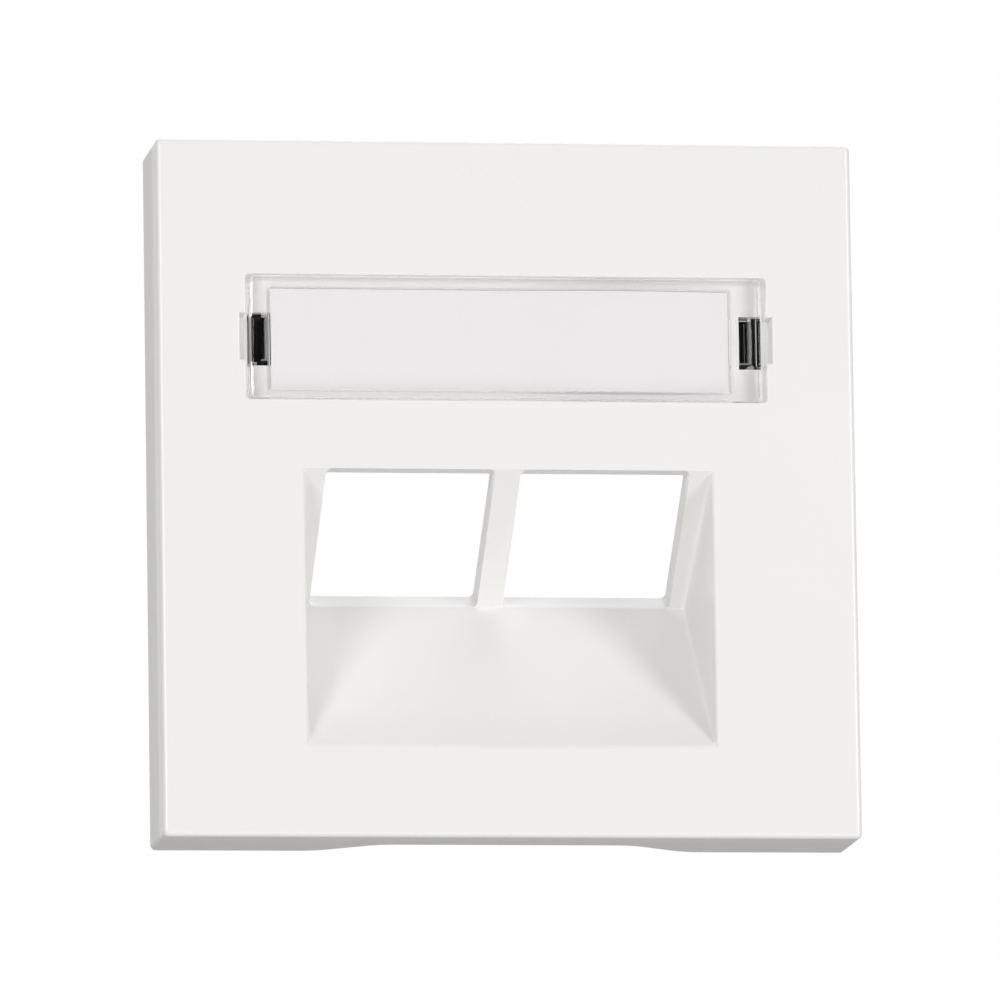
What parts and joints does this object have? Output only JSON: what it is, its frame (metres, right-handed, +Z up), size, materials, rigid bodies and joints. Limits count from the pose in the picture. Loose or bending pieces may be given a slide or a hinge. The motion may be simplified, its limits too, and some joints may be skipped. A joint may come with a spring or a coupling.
{
  "type": "keystone faceplate",
  "caption": "Square centre plate for a wall outlet, with a sloping recess for keystone jacks and a label field under a clear snap-in window.",
  "frame": {"origin": "middle of the rear rim of the side walls, in the plane that lies against the support ring", "axes": "+Y into the wall, +Z up and +X to the right as seen from the room, so the face looks towards -Y"},
  "size_m": [0.063, 0.0168, 0.063],
  "materials": {
    "white_plastic": "satin moulded white plastic",
    "clear_plastic": "clear polished plastic",
    "card": "smooth white paper card",
    "black_plastic": "matte black moulded plastic"
  },
  "bodies": {
    "root": {"faceplate": "white_plastic", "label_window": "clear_plastic", "label_card": "card", "catch_left": "black_plastic", "catch_right": "black_plastic"}
  },
  "joints": []
}
